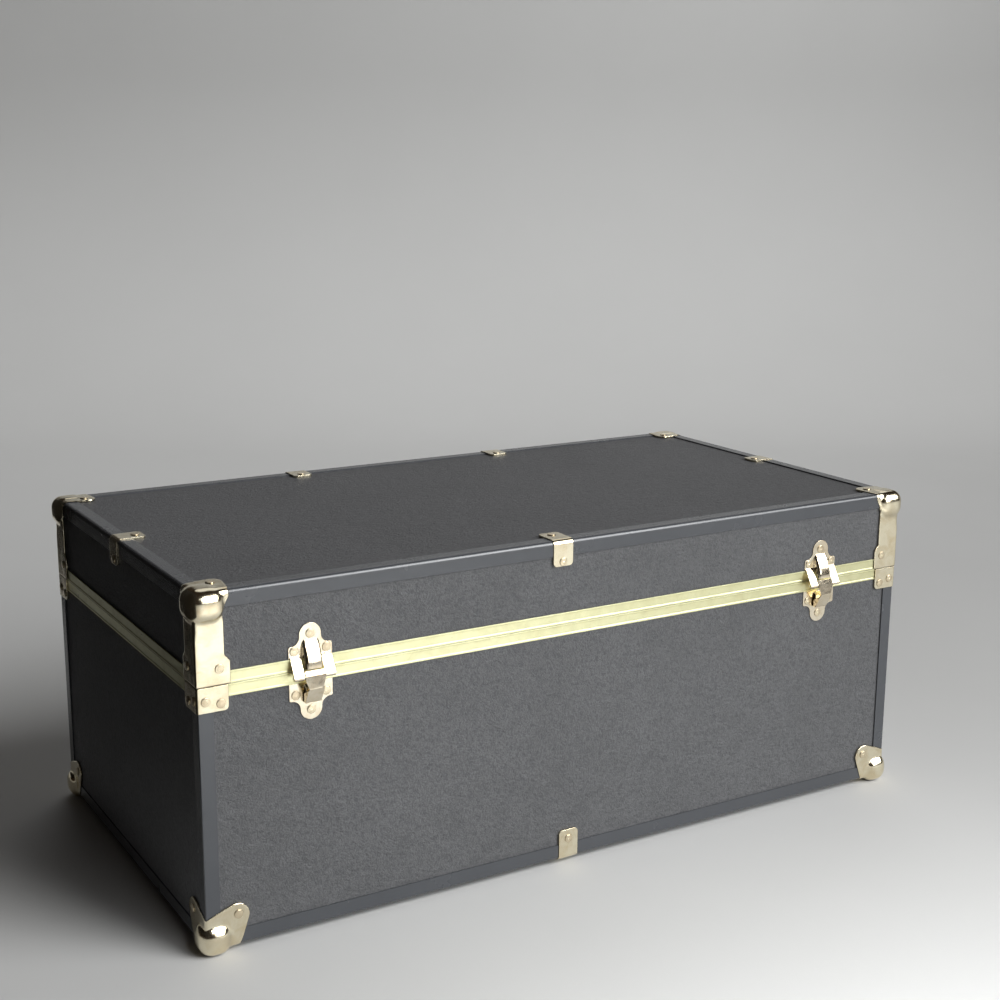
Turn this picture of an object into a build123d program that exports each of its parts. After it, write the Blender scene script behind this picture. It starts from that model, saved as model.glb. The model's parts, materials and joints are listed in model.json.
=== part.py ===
"""Steamer trunk: a plywood box with folded bindings, pressed brass corners, two draw latches,
two hinges and two slotted lid stays.

Millimetres. The origin is on the floor under the middle of the trunk, +X runs to the trunk's
right, the front faces -Y and +Z is up. Pieces that repeat in the four corners are made once at
the front left corner and mirrored.
"""
from build123d import *
import os
from math import atan2, cos, hypot, radians, sin

# Overall box, measured to the outer faces of the bindings
BOX_WIDTH = 811.0
BOX_DEPTH = 424.0
BOX_HEIGHT = 332.0
FOOT_PROUD = 6.5            # how far the foot balls stand out of the box; the trunk stands on them
LID_BALL_PROUD = 6.0        # how far the lid's balls stand out of its sides
LID_BALL_RISE = 2.0         # and above its top
JOINT_HEIGHT = 247.5        # lid joint above the box's underside
JOINT_GAP = 0.4             # between the base's rim and the lid's rim

# Panels and lining
PANEL_THICKNESS = 7.0
LINING_THICKNESS = 0.8

# Folded bindings
BINDING_SHEET = 1.4
BINDING_LEG = 15.5
BINDING_RADIUS = 4.0
POST_LEG = 14.0
POST_RADIUS = 1.2
BINDING_END_INSET = 15.5    # the bindings end here, under the pressed corners

# Brass rims
RAIL_HEIGHT = 11.5          # each half, from the joint
RAIL_PROUD = BINDING_SHEET  # of the panel's face, level with the bindings
RAIL_RECESS = 0.5           # depth of the shallow channel between the lips
RAIL_LIP = 1.5              # height of each lip
RAIL_SHEET = 1.2
RAIL_CORNER_RADIUS = 1.2
TONGUE_HEIGHT = 6.0         # how far the base's tongue stands into the lid
TONGUE_CLEARANCE = 0.3

# Pressed brass fittings
SHEET = 1.0
LID_BALL_REACH = 29.0
LID_BALL_RADIUS = 12.0
LID_BALL_TRIM = 26.8        # radius of the ball's outline on the faces
FOOT_BALL_REACH = 25.0
FOOT_BALL_RADIUS = 13.0
FOOT_BALL_TRIM = 23.5
LID_PETAL_REACH = 32.0
LID_PETAL_TIP = 26.0
LID_PETAL_TIP_RADIUS = 9.0
LID_LEG_WIDTH = 25.5
LID_LEG_FOOT_WIDTH = 30.5
FOOT_PETAL_REACH = 31.5
FOOT_PETAL_TIP = 29.0
FOOT_PETAL_TIP_RADIUS = 12.0
RIM_CORNER_WIDTH = 28.0
RIM_CORNER_DROP = 23.0
CLAMP_WIDTH = 22.0
CLAMP_CORNER_RADIUS = 4.0
CLAMP_RIVET_INSET = 21.0

# Rivets with low crowned heads
RIVET_HEAD_RADIUS = 4.2
RIVET_HEAD_HEIGHT = 1.2
RIVET_CROWN = 0.4           # rise of the head's low cone over its edge
RIVET_EDGE_RADIUS = 0.5
RIVET_SHANK_RADIUS = 1.5
RIVET_HOLE_RADIUS = 1.6
RIVET_LENGTH = 6.0

# Hinges on the back
HINGE_X = 250.0
HINGE_WIDTH = 50.0
HINGE_KNUCKLE_WIDTH = 17.6  # of the lid's middle knuckle
HINGE_SIDE_GAP = 0.25
HINGE_RADIUS = 4.0
HINGE_PIN_RADIUS = 1.5
HINGE_BORE_RADIUS = 1.56
HINGE_PIN_HEAD_RADIUS = 2.6
HINGE_AXIS_Y = 220.0
HINGE_LEAF_LENGTH = 32.0
HINGE_SHEET = 1.2

# Draw latches on the front
LATCH_X = {"left": -299.5, "right": 296.3}
LATCH_PIN_Y = -219.8
LATCH_PIN_HEIGHT = 243.5
LATCH_KNUCKLE_RADIUS = 2.6
LATCH_PIN_RADIUS = 1.2
LATCH_BORE_RADIUS = 1.26
LATCH_LEG_INNER = 10.0
LATCH_LEG_OUTER = 19.8
LATCH_HOOD_HALF = 8.4
LEVER_BARREL_HALF = 9.5
LEVER_TAIL_HALF = 7.7

# Lid stays: a slotted arm pivots on the lid and slides on a stud in the base
STAY_FORWARD = 106.0        # of the hinge axis
STAY_OFFSET = 30.0          # the pivot is this far above the joint, the stud this far below
LID_OPEN_ANGLE = 100.0
STAY_ARM_X = 391.8          # middle of the arm's thickness
STAY_ARM_THICKNESS = 2.0
STAY_ARM_WIDTH = 14.0
STAY_SLOT_WIDTH = 6.4
STAY_STUD_RADIUS = 3.0
STAY_PIVOT_RADIUS = 2.5
STAY_PIVOT_HOLE_RADIUS = 2.56
STAY_SIDE_GAP = 0.2

# Worked out from the driving dimensions
HALF_WIDTH = BOX_WIDTH / 2
HALF_DEPTH = BOX_DEPTH / 2
BOTTOM = FOOT_PROUD
TOP = BOTTOM + BOX_HEIGHT
JOINT = BOTTOM + JOINT_HEIGHT
FACE_X = HALF_WIDTH - BINDING_SHEET     # outer faces of the panels
FACE_Y = HALF_DEPTH - BINDING_SHEET
FACE_BOTTOM = BOTTOM + BINDING_SHEET
FACE_TOP = TOP - BINDING_SHEET
WALL_X = FACE_X - PANEL_THICKNESS       # inner faces of the panels
WALL_Y = FACE_Y - PANEL_THICKNESS
RAIL_X = FACE_X + RAIL_PROUD            # outer faces of the brass rims
RAIL_Y = FACE_Y + RAIL_PROUD
BASE_RIM = JOINT - JOINT_GAP / 2
LID_RIM = JOINT + JOINT_GAP / 2
PAST = 30.0                             # how far the quarter solids run past the middle


def block(x_range, y_range, z_range):
    """A box between two limits along each axis."""
    centre = [(low + high) / 2 for low, high in (x_range, y_range, z_range)]
    size = [high - low for low, high in (x_range, y_range, z_range)]
    return Pos(*centre) * Box(*size)


def prism(points, start, length, axis):
    """A closed outline of 2D points, drawn square to an axis and extruded along it.

    The 2D coordinates are (y, z) for axis X, (x, z) for axis Y and (x, y) for axis Z.
    """
    place = {
        "X": lambda a, b: (start, a, b),
        "Y": lambda a, b: (a, start, b),
        "Z": lambda a, b: (a, b, start),
    }[axis]
    direction = {"X": (1, 0, 0), "Y": (0, 1, 0), "Z": (0, 0, 1)}[axis]
    face = make_face(Polyline(*[place(a, b) for a, b in points], close=True))
    return extrude(face, amount=length, dir=direction)


def side_plane(x):
    """A plane square to X whose local axes are world Y and Z."""
    return Plane(origin=(x, 0, 0), x_dir=(0, 1, 0), z_dir=(1, 0, 0))


def cylinder_x(x_start, x_end, y, z, radius):
    """A round bar along X."""
    return extrude(side_plane(x_start) * Pos(y, z) * Circle(radius), amount=x_end - x_start)


def strip_x(path, width_range, sheet):
    """A bent strip of sheet: a (y, z) path of the sheet's middle, as wide as width_range in X."""
    low, high = width_range
    return extrude(side_plane(low) * trace(path, line_width=sheet), amount=high - low)


def left_right(shape):
    """A solid at the left and its mirror image at the right."""
    return [shape, mirror(shape, about=Plane.YZ)]


def front_back(shape):
    """A solid at the front and its mirror image at the back."""
    return [shape, mirror(shape, about=Plane.XZ)]


def four_corners(shape):
    """Front left, front right, back left and back right copies of a front left solid."""
    return [copy for side in front_back(shape) for copy in left_right(side)]


CORNER_NAMES = ("front_left", "front_right", "back_left", "back_right")


# Rivets -------------------------------------------------------------------------------------------

def rivet():
    """A rivet on the origin: a disc that rises a little to its middle, with a soft edge, and its shank."""
    rim_height = RIVET_HEAD_HEIGHT - RIVET_CROWN
    outline = Polyline(
        (0, -RIVET_LENGTH), (RIVET_SHANK_RADIUS, -RIVET_LENGTH), (RIVET_SHANK_RADIUS, 0),
        (RIVET_HEAD_RADIUS, 0), (RIVET_HEAD_RADIUS, rim_height), (0, RIVET_HEAD_HEIGHT), close=True)
    face = make_face(outline)
    face = fillet(face.vertices().sort_by_distance((RIVET_HEAD_RADIUS, rim_height, 0))[0], RIVET_EDGE_RADIUS)
    return revolve(Plane.XZ * face, Axis.Z)


class RivetGroup:
    """The rivets of one body, and the holes that they pass through."""

    def __init__(self, places):
        """places are (point, outward) pairs."""
        self.pattern = rivet()
        self.rivets = []
        self.holes = []
        for point, outward in places:
            self.add(point, outward)

    def add(self, point, outward):
        """One rivet whose head sits on a plate at point, facing outward."""
        seat = Plane(origin=point, z_dir=outward)
        self.rivets.append(seat * self.pattern)
        self.holes.append(seat * Cylinder(RIVET_HOLE_RADIUS, 2 * RIVET_LENGTH + JOINT_GAP))

    def drill(self, shape):
        """The shape with a hole for each rivet that reaches it."""
        box = shape.bounding_box()
        reach = RIVET_LENGTH + JOINT_GAP
        near = [hole for hole in self.holes if self.meets(box, hole.center(), reach)]
        return shape - near if near else shape

    @staticmethod
    def meets(box, point, reach):
        return all(
            low - reach < value < high + reach
            for low, value, high in zip(box.min, point, box.max)
        )


# Panels and lining --------------------------------------------------------------------------------

def walls(z_range):
    """Front, back, left and right panels; the ends fit between the front and the back."""
    front = block((-FACE_X, FACE_X), (-FACE_Y, -WALL_Y), z_range)
    left = block((-FACE_X, -WALL_X), (-WALL_Y, WALL_Y), z_range)
    return dict(zip(("front", "back", "left", "right"), front_back(front) + left_right(left)))


def base_panels():
    panels = walls((FACE_BOTTOM, BASE_RIM - RAIL_SHEET))
    floor_range = (FACE_BOTTOM, FACE_BOTTOM + PANEL_THICKNESS)
    panels["bottom"] = block((-WALL_X, WALL_X), (-WALL_Y, WALL_Y), floor_range)
    return panels


def lid_panels():
    panels = walls((LID_RIM + RAIL_SHEET, FACE_TOP))
    top_range = (FACE_TOP - PANEL_THICKNESS, FACE_TOP)
    panels["top"] = block((-WALL_X, WALL_X), (-WALL_Y, WALL_Y), top_range)
    return panels


def lining(z_closed, z_open):
    """A thin tray inside the walls, closed at z_closed and open at z_open."""
    low, high = sorted((z_closed, z_open))
    outside = block((-WALL_X, WALL_X), (-WALL_Y, WALL_Y), (low, high))
    inset = LINING_THICKNESS
    if z_closed < z_open:
        hollow_range = (low + inset, high)
    else:
        hollow_range = (low, high - inset)
    hollow = block((-WALL_X + inset, WALL_X - inset), (-WALL_Y + inset, WALL_Y - inset), hollow_range)
    return outside - hollow


# Bindings -----------------------------------------------------------------------------------------

def binding_section(leg, radius):
    """A folded angle with its outer corner at the origin and its legs along +x and +y."""
    corner = (Align.MIN, Align.MIN)
    outer = Rectangle(leg, leg, align=corner)
    outer = fillet(outer.vertices().sort_by_distance((0, 0, 0))[0], radius)
    inner = Pos(BINDING_SHEET, BINDING_SHEET) * Rectangle(leg, leg, align=corner)
    return outer - inner


def bottom_bindings():
    """The four bindings round the underside, by side."""
    half_x = HALF_WIDTH - BINDING_END_INSET
    half_y = HALF_DEPTH - BINDING_END_INSET
    front_plane = Plane(origin=(-half_x, -HALF_DEPTH, BOTTOM), x_dir=(0, 1, 0), z_dir=(1, 0, 0))
    left_plane = Plane(origin=(-HALF_WIDTH, half_y, BOTTOM), x_dir=(1, 0, 0), z_dir=(0, -1, 0))
    section = binding_section(BINDING_LEG, BINDING_RADIUS)
    front = extrude(front_plane * section, amount=2 * half_x)
    left = extrude(left_plane * section, amount=2 * half_y)
    return dict(zip(("front", "back", "left", "right"), front_back(front) + left_right(left)))


def top_bindings():
    middle = Plane(origin=(0, 0, (BOTTOM + TOP) / 2), z_dir=(0, 0, 1))
    return {side: mirror(bar, about=middle) for side, bar in bottom_bindings().items()}


def post_binding():
    """The upright binding of the base's front left edge, up to the brass rim."""
    start = BOTTOM + BINDING_END_INSET
    plane = Plane(origin=(-HALF_WIDTH, -HALF_DEPTH, start), x_dir=(1, 0, 0), z_dir=(0, 0, 1))
    return extrude(plane * binding_section(POST_LEG, POST_RADIUS), amount=JOINT - RAIL_HEIGHT - start)


# Brass rims ---------------------------------------------------------------------------------------

def rail_section(tongue):
    """Outline of one half of the rim: (out, away) from the panel's face and from the joint."""
    edge = JOINT_GAP / 2
    web = edge + RAIL_SHEET
    channel = RAIL_PROUD - RAIL_RECESS
    inner = -PANEL_THICKNESS
    flange = inner - RAIL_SHEET
    outline = [
        (0, RAIL_HEIGHT), (RAIL_PROUD, RAIL_HEIGHT), (RAIL_PROUD, RAIL_HEIGHT - RAIL_LIP),
        (channel, RAIL_HEIGHT - RAIL_LIP - RAIL_RECESS), (channel, edge + RAIL_LIP + RAIL_RECESS),
        (RAIL_PROUD, edge + RAIL_LIP), (RAIL_PROUD, edge),
    ]
    if tongue:
        outer = flange - TONGUE_CLEARANCE
        outline += [
            (outer, edge), (outer, -TONGUE_HEIGHT), (outer - RAIL_SHEET, -TONGUE_HEIGHT),
            (outer - RAIL_SHEET, web), (flange, web),
        ]
    else:
        outline += [(flange, edge)]
    outline += [(flange, RAIL_HEIGHT), (inner, RAIL_HEIGHT), (inner, web), (0, web)]
    return outline


def rim(direction, tongue):
    """Four mitred rails; direction is -1 for the base's half and 1 for the lid's."""
    section = rail_section(tongue)
    front_points = [(-FACE_Y - out, JOINT + direction * away) for out, away in section]
    left_points = [(-FACE_X - out, JOINT + direction * away) for out, away in section]
    low, high = JOINT - 2 * RAIL_HEIGHT, JOINT + 2 * RAIL_HEIGHT
    deep = RAIL_Y / 2
    front_wedge = prism(
        [(-RAIL_X, -RAIL_Y), (RAIL_X, -RAIL_Y), (RAIL_X - deep, -RAIL_Y + deep),
         (-RAIL_X + deep, -RAIL_Y + deep)], low, high - low, "Z")
    left_wedge = prism(
        [(-RAIL_X, -RAIL_Y), (-RAIL_X, RAIL_Y), (-RAIL_X + deep, RAIL_Y - deep),
         (-RAIL_X + deep, -RAIL_Y + deep)], low, high - low, "Z")
    plan = RectangleRounded(2 * RAIL_X, 2 * RAIL_Y, RAIL_CORNER_RADIUS)
    rounded = extrude(Pos(0, 0, low) * plan, amount=high - low)
    front = prism(front_points, -RAIL_X, 2 * RAIL_X, "X") & front_wedge & rounded
    left = prism(left_points, -RAIL_Y, 2 * RAIL_Y, "Y") & left_wedge & rounded
    return front_back(front) + left_right(left)


# What the pressed fittings lie on -----------------------------------------------------------------

def rounded_bar(x_range, y_range, z_range, axis, radius):
    """A block whose edge nearest the trunk's front left outside is rounded along one axis."""
    bar = block(x_range, y_range, z_range)
    edges = bar.edges().filter_by(axis)
    middle = (BOTTOM + TOP) / 2
    outermost = max(edges, key=lambda e: -e.center().X - e.center().Y + abs(e.center().Z - middle))
    return fillet(outermost, radius)


def edge_bars(level_range):
    """The front and left bindings of one level, as solid bars."""
    front = rounded_bar(
        (-HALF_WIDTH + BINDING_END_INSET, PAST), (-HALF_DEPTH, -HALF_DEPTH + BINDING_LEG),
        level_range, Axis.X, BINDING_RADIUS)
    left = rounded_bar(
        (-HALF_WIDTH, -HALF_WIDTH + BINDING_LEG), (-HALF_DEPTH + BINDING_END_INSET, PAST),
        level_range, Axis.Y, BINDING_RADIUS)
    return front + left


def lid_form():
    """The front left quarter of the lid, as one solid that its fittings lie on."""
    panels = block((-FACE_X, PAST), (-FACE_Y, PAST), (LID_RIM, FACE_TOP))
    rail = rounded_bar(
        (-RAIL_X, PAST), (-RAIL_Y, PAST), (LID_RIM, JOINT + RAIL_HEIGHT), Axis.Z, RAIL_CORNER_RADIUS)
    return panels + edge_bars((TOP - BINDING_LEG, TOP)) + rail


def base_form():
    """The front left quarter of the base, as one solid that its fittings lie on."""
    panels = block((-FACE_X, PAST), (-FACE_Y, PAST), (FACE_BOTTOM, BASE_RIM))
    post = rounded_bar(
        (-HALF_WIDTH, -HALF_WIDTH + POST_LEG), (-HALF_DEPTH, -HALF_DEPTH + POST_LEG),
        (BOTTOM + BINDING_END_INSET, BASE_RIM), Axis.Z, POST_RADIUS)
    rail = rounded_bar(
        (-RAIL_X, PAST), (-RAIL_Y, PAST), (JOINT - RAIL_HEIGHT, BASE_RIM), Axis.Z,
        RAIL_CORNER_RADIUS)
    return panels + edge_bars((BOTTOM, BOTTOM + BINDING_LEG)) + post + rail


# The pressed fittings' outer faces, a sheet's thickness outside the bindings ----------------------

OUTER_X = HALF_WIDTH + SHEET
OUTER_Y = HALF_DEPTH + SHEET
PLATE = SHEET + BINDING_SHEET           # from the panels' faces to the fittings' outer faces


def envelope(z_range, edge_radius):
    """The front left quarter of the space inside the fittings' outer faces, folded edges rounded."""
    ranges = ((-OUTER_X, PAST), (-OUTER_Y, PAST), z_range)
    along_x = rounded_bar(*ranges, Axis.X, BINDING_RADIUS + SHEET)
    along_y = rounded_bar(*ranges, Axis.Y, BINDING_RADIUS + SHEET)
    return along_x & along_y & rounded_bar(*ranges, Axis.Z, edge_radius)


def lid_shell():
    """Where the lid's fittings may be: inside their outer faces and outside the lid."""
    return envelope((LID_RIM, TOP + SHEET), POST_RADIUS) - lid_form()


def base_shell():
    """Where the base's fittings may be: inside their outer faces and outside the base."""
    return envelope((BOTTOM - SHEET, BASE_RIM), POST_RADIUS + SHEET) - base_form()


# Outlines of the fittings, as (along, along) from the box's corner ----------------------------------

def petal(reach, tip, tip_radius):
    """A petal: from the corner out to reach on both edges, and round a tip on the diagonal."""
    near = -SHEET
    corner = Polyline((near, near), (reach, near), (reach, 1), (1, reach), (near, reach), close=True)
    tip_circle = Pos(tip, tip) * Circle(tip_radius)
    return make_hull(make_face(corner).edges() + tip_circle.edges())


def lid_leg_outline():
    """A lid corner's leg: (across, down) from the box's corner, from the ball to the joint."""
    near = -SHEET
    length = TOP - LID_RIM
    shoulder = 6.0
    waist = 19.0
    flare_top = 57.0
    flare_bottom = 63.0
    soft_radius = 2.5
    outline = Polyline(
        (near, near), (LID_PETAL_REACH, near), (LID_PETAL_REACH, shoulder), (LID_LEG_WIDTH, waist),
        (LID_LEG_WIDTH, flare_top), (LID_LEG_FOOT_WIDTH, flare_bottom),
        (LID_LEG_FOOT_WIDTH, length), (near, length), close=True)
    face = make_face(outline)
    soft = [v for v in face.vertices() if v.X > LID_LEG_WIDTH - 1 and 0 < v.Y < flare_bottom + 1]
    return fillet(soft, soft_radius)


def rim_corner_outline():
    """A rim corner's plate: (across, down) from the box's corner and the joint."""
    plate = Pos(-SHEET, 0) * Rectangle(
        RIM_CORNER_WIDTH + SHEET, RIM_CORNER_DROP, align=(Align.MIN, Align.MIN))
    lower = plate.vertices().sort_by_distance((RIM_CORNER_WIDTH, RIM_CORNER_DROP, 0))[0]
    return fillet(lower, CLAMP_CORNER_RADIUS)


def side_slabs(outline, level, down):
    """Plates on the front and the left face, cut to an outline from their corner.

    down is -1 where the outline's second axis runs down from level, and 1 where it runs up.
    """
    front = Plane(origin=(-HALF_WIDTH, -FACE_Y, level), x_dir=(1, 0, 0), z_dir=(0, -down, 0))
    left = Plane(origin=(-FACE_X, -HALF_DEPTH, level), x_dir=(0, 1, 0), z_dir=(down, 0, 0))
    return (
        extrude(front * outline, amount=PLATE, dir=(0, -1, 0))
        + extrude(left * outline, amount=PLATE, dir=(-1, 0, 0))
    )


def level_slab(outline, level, outward):
    """A plate on the top or the underside, cut to an outline from the front left corner."""
    plane = Plane(origin=(-HALF_WIDTH, -HALF_DEPTH, level - outward * BINDING_SHEET))
    return extrude(plane * outline, amount=PLATE, dir=(0, 0, outward))


# Pressed corners ----------------------------------------------------------------------------------

BALL_CENTRE = 4.0       # of the arc that the ball ends in on each face, in from both edges


def ball(proud, rise, reach, radius, trim, level, outward, shrink):
    """A ball corner's rounded block at the front left, shrunk to get the hollow inside its sheet.

    It stands proud of the sides and rises past level, and reaches in along each edge; trim is the
    radius of its outline on the faces.
    """
    near = -proud + shrink
    far = reach - shrink
    z_range = sorted((level + outward * (rise - shrink), level - outward * far))
    shape = block(
        (-HALF_WIDTH + near, -HALF_WIDTH + far), (-HALF_DEPTH + near, -HALF_DEPTH + far), z_range)
    shape = fillet(shape.edges(), radius - shrink)
    centre = Pos(
        -HALF_WIDTH + BALL_CENTRE, -HALF_DEPTH + BALL_CENTRE, level - outward * BALL_CENTRE)
    return shape & centre * Sphere(trim - shrink)


def pressed_corner(shell, slabs, form, ball_sizes):
    """A corner cap: flat plates lying on the box, with a hollow ball pressed out at the corner."""
    cap = (shell & slabs) + ball(*ball_sizes, shrink=0)
    return cap - ball(*ball_sizes, shrink=SHEET) - form


def lid_corner(shell):
    slabs = side_slabs(lid_leg_outline(), TOP, -1)
    slabs += level_slab(petal(LID_PETAL_REACH, LID_PETAL_TIP, LID_PETAL_TIP_RADIUS), TOP, 1)
    sizes = (
        LID_BALL_PROUD, LID_BALL_RISE, LID_BALL_REACH, LID_BALL_RADIUS, LID_BALL_TRIM, TOP, 1)
    return pressed_corner(shell, slabs, lid_form(), sizes)


def foot_corner(shell):
    outline = petal(FOOT_PETAL_REACH, FOOT_PETAL_TIP, FOOT_PETAL_TIP_RADIUS)
    slabs = side_slabs(outline, BOTTOM, 1) + level_slab(outline, BOTTOM, -1)
    sizes = (FOOT_PROUD, FOOT_PROUD, FOOT_BALL_REACH, FOOT_BALL_RADIUS, FOOT_BALL_TRIM, BOTTOM, -1)
    return pressed_corner(shell, slabs, base_form(), sizes)


def rim_corner(shell):
    return shell & side_slabs(rim_corner_outline(), BASE_RIM, -1)


# Straps over the bindings -------------------------------------------------------------------------

def clamp(shell, side, centre, level, outward, drop, reach):
    """A strap folded over a binding: down the side by drop, and in along the level face by reach."""
    across = (centre - CLAMP_WIDTH / 2, centre + CLAMP_WIDTH / 2)
    upright_z = sorted((level + outward * SHEET, level - outward * drop))
    level_z = sorted((level + outward * SHEET, level - outward * BINDING_SHEET))
    far_z = level - outward * drop
    if side == "front":
        upright = block(across, (-OUTER_Y, -FACE_Y), upright_z)
        flat = block(across, (-OUTER_Y, -HALF_DEPTH + reach), level_z)
        inward = Axis.Y
    else:
        upright = block((-OUTER_X, -FACE_X), across, upright_z)
        flat = block((-OUTER_X, -HALF_WIDTH + reach), across, level_z)
        inward = Axis.X
    upright_ends = [e for e in upright.edges().filter_by(inward) if abs(e.center().Z - far_z) < 1]
    flat_ends = flat.edges().filter_by(Axis.Z).sort_by(inward)[-2:]
    upright = fillet(upright_ends, CLAMP_CORNER_RADIUS)
    flat = fillet(flat_ends, CLAMP_CORNER_RADIUS)
    return shell & (upright + flat)


def clamp_rivets(side, centre, level, outward):
    """The two rivets of a strap: (point, outward) on its side leg and on its level leg."""
    along = level - outward * CLAMP_RIVET_INSET
    flat_z = level + outward * SHEET
    if side == "front":
        return [
            ((centre, -OUTER_Y, along), (0, -1, 0)),
            ((centre, -HALF_DEPTH + CLAMP_RIVET_INSET, flat_z), (0, 0, outward)),
        ]
    return [
        ((-OUTER_X, centre, along), (-1, 0, 0)),
        ((-HALF_WIDTH + CLAMP_RIVET_INSET, centre, flat_z), (0, 0, outward)),
    ]


# Hinges -------------------------------------------------------------------------------------------

def hinge_leaf(x, direction, knuckles):
    """A leaf that steps over the brass rim; direction is -1 for the base and 1 for the lid."""
    sheet = HINGE_SHEET
    knuckle_bottom = HINGE_RADIUS - sheet
    step_start = RAIL_HEIGHT + JOINT_GAP / 2
    section = [
        (RAIL_PROUD, knuckle_bottom), (RAIL_PROUD + sheet, knuckle_bottom),
        (RAIL_PROUD + sheet, step_start + sheet / 2), (sheet, step_start + RAIL_PROUD + sheet / 2),
        (sheet, HINGE_LEAF_LENGTH), (0, HINGE_LEAF_LENGTH), (0, step_start + RAIL_PROUD),
        (RAIL_PROUD, step_start),
    ]
    points = [(FACE_Y + out, JOINT + direction * away) for out, away in section]
    leaf = prism(points, x - HINGE_WIDTH / 2, HINGE_WIDTH, "X")
    far_z = JOINT + direction * HINGE_LEAF_LENGTH
    ends = [e for e in leaf.edges().filter_by(Axis.Y) if abs(e.center().Z - far_z) < sheet]
    leaf = fillet(ends, CLAMP_CORNER_RADIUS)
    web_z = sorted((JOINT + direction * knuckle_bottom, JOINT + direction * HINGE_RADIUS))
    for low, high in knuckles:
        leaf += block((x + low, x + high), (RAIL_Y, HINGE_AXIS_Y), web_z)
        leaf += cylinder_x(x + low, x + high, HINGE_AXIS_Y, JOINT, HINGE_RADIUS)
    half = HINGE_WIDTH / 2 + SHEET
    return leaf - cylinder_x(x - half, x + half, HINGE_AXIS_Y, JOINT, HINGE_BORE_RADIUS)


def hinge_pin(x):
    half = HINGE_WIDTH / 2
    pin = cylinder_x(x - half, x + half, HINGE_AXIS_Y, JOINT, HINGE_PIN_RADIUS)
    for low in (x - half - SHEET, x + half):
        pin += cylinder_x(low, low + SHEET, HINGE_AXIS_Y, JOINT, HINGE_PIN_HEAD_RADIUS)
    return pin


def hinge_knuckles():
    """The lid's middle knuckle and the base's two outer ones, as X ranges from the hinge's middle."""
    lid_half = HINGE_KNUCKLE_WIDTH / 2
    base_inner = lid_half + HINGE_SIDE_GAP
    end = HINGE_WIDTH / 2
    return [(-lid_half, lid_half)], [(-end, -base_inner), (base_inner, end)]


def hinge_rivets(x, direction):
    """Three rivets in a leaf, as (point, outward)."""
    spread = 16.0
    away = 24.0
    return [
        ((x + offset, FACE_Y + HINGE_SHEET, JOINT + direction * away), (0, 1, 0))
        for offset in (-spread, 0, spread)
    ]


# Draw latches -------------------------------------------------------------------------------------

EAR_HALF = 21.0
LOBE_RADIUS = 10.5
NECK_RADIUS = 8.0
EAR_CORNER_RADIUS = 1.8
PLATE_LOBE_HEIGHT = 280.0       # heights above the box's underside
PLATE_EAR_HEIGHT = 270.6
KEEPER_EAR_HEIGHT = 219.5
KEEPER_LOBE_HEIGHT = 211.0
HOOD_LIP_HEIGHT = 250.6
HOOD_CENTRE_Y = -179.6          # of the round profile that the hood is pressed to
HOOD_CENTRE_HEIGHT = 248.4
HOOD_PROFILE_RADIUS = 42.0
HOOD_EDGE_RADIUS = 3.0
HOOD_RIM_GAP = 0.6              # between the hood's cheeks and the brass rim
LEVER_NOSE_HEIGHT = 249.2
LEVER_NOSE_LEAN = 1.3           # of the nose, back from the barrel's front
LEVER_BEND_HEIGHT = 244.5
LEVER_BEAK_Y = -223.7
LEVER_BEAK_HEIGHT = 233.0
LEVER_BEAK_HALF = 6.6
LEVER_LIP_Y = -216.4
LEVER_LIP_HEIGHT = 218.4
LEVER_HOOK_PROUD = 1.8          # the hook's tip stands this far off the front panel
LEVER_BEND_RADII = (2.0, 1.5, 1.2)
LEVER_DEPTH = 16.0              # past the lever from the front panel
CATCH_HALF = 6.0
CATCH_PROUD = 3.5
CATCH_HEIGHTS = (234.0, 231.0, 221.4, 220.4)    # its upper slope, then its lower one
SHEET_Y = -FACE_Y - SHEET / 2   # middle of the sheet that lies on the front panel
RIM_GAP = 0.2                   # between the brass rim and what lies beside it
LEG_BEND = 2.0                  # the legs leave the plate this far above its lower edge
LEG_RIM_GAP = 1.3               # from the rim's face to the middle of a leg's sheet
LEG_KNEE_DROP = 0.6
FLANGE_BACK = 2.8               # the lever's side flanges end this far off the front panel
FLANGE_TOP_HEIGHT = 226.0


def latch_plate_outline(ear_height, lobe_height, root_height):
    """Ears from root_height to ear_height, then concave necks and a round lobe."""
    up = 1 if lobe_height > root_height else -1
    low, high = sorted((root_height, ear_height))
    ears = Pos(0, BOTTOM + (low + high) / 2) * Rectangle(2 * EAR_HALF, high - low)
    low, high = sorted((ear_height - up, lobe_height))
    neck = Pos(0, BOTTOM + (low + high) / 2) * Rectangle(2 * LOBE_RADIUS, high - low)
    lobe = Pos(0, BOTTOM + lobe_height) * Circle(LOBE_RADIUS)
    face = ears + neck + lobe
    level = BOTTOM + ear_height
    on_level = [v for v in face.vertices() if abs(v.Y - level) < 0.01]
    face = fillet([v for v in on_level if abs(v.X) < EAR_HALF - 1], NECK_RADIUS)
    on_level = [v for v in face.vertices() if abs(v.Y - level) < 0.01]
    return fillet([v for v in on_level if abs(v.X) > EAR_HALF - 0.5], EAR_CORNER_RADIUS)


def flat_plate(outline, x):
    """An outline in (x, z) made into sheet that lies on the front panel."""
    plane = Plane(origin=(x, -FACE_Y, 0), x_dir=(1, 0, 0), z_dir=(0, -1, 0))
    return extrude(plane * outline, amount=SHEET)


def tangent_point(start, centre, radius):
    """Where the line from start touches the front of a circle below it, in (y, z)."""
    across, down = centre[0] - start[0], centre[1] - start[1]
    gap = hypot(across, down)
    heading = atan2(down, across) - atan2(radius, (gap**2 - radius**2) ** 0.5)
    reach = (gap**2 - radius**2) ** 0.5
    return (start[0] + reach * cos(heading), start[1] + reach * sin(heading))


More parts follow.
